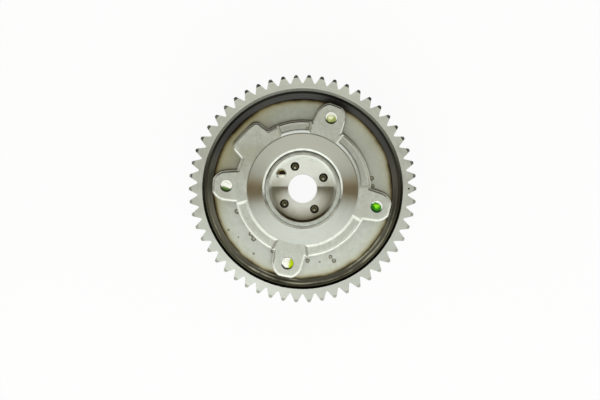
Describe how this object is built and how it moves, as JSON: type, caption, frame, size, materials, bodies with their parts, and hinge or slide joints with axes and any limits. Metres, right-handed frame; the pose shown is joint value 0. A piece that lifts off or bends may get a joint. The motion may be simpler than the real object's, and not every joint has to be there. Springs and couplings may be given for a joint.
{
  "type": "camshaft phaser with chain sprocket",
  "caption": "Oil-driven camshaft phaser: a toothed chain sprocket clamped to a vane housing, round a rotor that turns a little to shift valve timing.",
  "frame": {"origin": "on the axis of rotation, at the front cover's rest face", "axes": "+Z along the axis towards the camshaft side, +X towards the tooth with the timing mark"},
  "size_m": [0.1096, 0.1094, 0.035],
  "materials": {
    "sprocket_steel": "sintered and hardened, ground rim face, dark scaled dish",
    "cover_steel": "sintered, matt, machined on its sealing faces",
    "stator_steel": "sintered, matt",
    "rotor_steel": "sintered and turned, bright",
    "screw_steel": "zinc phosphate, threads with thread-locker",
    "hardened_steel": "hardened and ground",
    "spring_steel": "drawn or rolled, oiled",
    "seal_plastic": "filled bearing plastic"
  },
  "bodies": {
    "housing": {"sprocket": "sprocket_steel", "rear_cover": "cover_steel", "stator": "stator_steel", "front_cover": "cover_steel", "cover_screws": "screw_steel", "locating_dowel": "hardened_steel", "lock_pin_seat": "hardened_steel", "lobe_seal_1": "seal_plastic", "lobe_seal_2": "seal_plastic", "lobe_seal_3": "seal_plastic", "lobe_seal_4": "seal_plastic", "lobe_seal_spring_1": "spring_steel", "lobe_seal_spring_2": "spring_steel", "lobe_seal_spring_3": "spring_steel", "lobe_seal_spring_4": "spring_steel"},
    "rotor": {"rotor": "rotor_steel", "vane_seal_1": "seal_plastic", "vane_seal_2": "seal_plastic", "vane_seal_3": "seal_plastic", "vane_seal_4": "seal_plastic", "vane_seal_spring_1": "spring_steel", "vane_seal_spring_2": "spring_steel", "vane_seal_spring_3": "spring_steel", "vane_seal_spring_4": "spring_steel", "lock_pin_cap": "hardened_steel", "lock_pin_spring": "spring_steel"},
    "lock_pin": {"lock_pin": "hardened_steel"}
  },
  "joints": [
    {"name": "rotor_turn", "type": "hinge", "parent": "housing", "child": "rotor", "pos_m": [0, 0, 0], "axis": [0, 0, 1], "range_deg": [-28.5, 0]},
    {"name": "lock_pin_slide", "type": "slide", "parent": "rotor", "child": "lock_pin", "axis": [0, 0, -1], "range_m": [0, 0.0012], "stiffness_N_per_m": 800, "deforming": ["lock_pin_spring"]}
  ]
}
